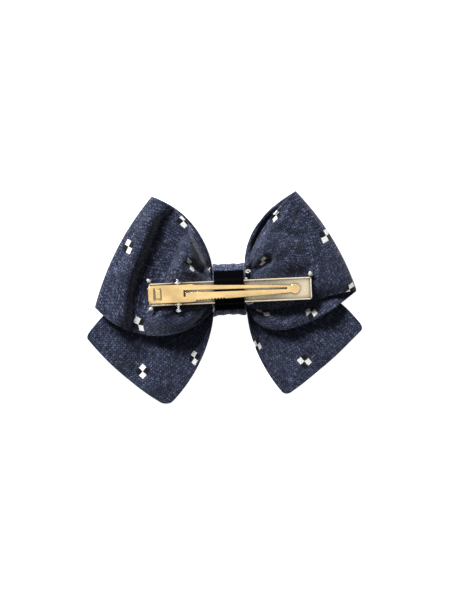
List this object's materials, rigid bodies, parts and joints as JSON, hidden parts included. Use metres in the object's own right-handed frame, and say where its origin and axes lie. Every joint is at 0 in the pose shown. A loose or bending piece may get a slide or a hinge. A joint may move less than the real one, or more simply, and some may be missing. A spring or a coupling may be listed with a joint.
{
  "type": "hair bow",
  "caption": "Denim hair bow of a looped strip and a tail strip gathered under a knot, with a sprung single-prong clip glued across its back.",
  "frame": {"origin": "on the flat face of the knot, below the middle of the clip's centreline", "axes": "+X along the clip from its lever end to its jaw end, +Y from the tails to the loops, +Z from the bow's face to the clip on its back"},
  "size_m": [0.0997, 0.0753, 0.0168],
  "materials": {
    "denim": "plain-woven dark navy chambray with small woven checks",
    "thread": "spun polyester thread",
    "glue": "cooled hot-melt glue",
    "ribbon": "black fine-ribbed ribbon",
    "gilt_sheet": "pale gilt plating on pressed sheet",
    "bright_pin": "bright plated wire",
    "spring_steel": "gilt-plated rolled spring strip"
  },
  "bodies": {
    "bow": {"loop_band": "denim", "tail_strip": "denim", "gather_thread": "thread", "knot_band": "denim", "clip_glue": "glue", "back_ribbon": "ribbon", "clip_base": "gilt_sheet", "hinge_pin": "bright_pin", "leaf_spring": "spring_steel", "corner_dabs": "glue"},
    "arm": {"clip_arm": "gilt_sheet"}
  },
  "joints": [
    {"name": "arm_hinge", "type": "hinge", "parent": "bow", "child": "arm", "pos_m": [-0.018, 0, 0.0116], "axis": [0, -1, 0], "range_deg": [0, 24], "stiffness_Nm_per_rad": 0.06, "springref_deg": -34.38, "deforming": ["leaf_spring"]}
  ]
}
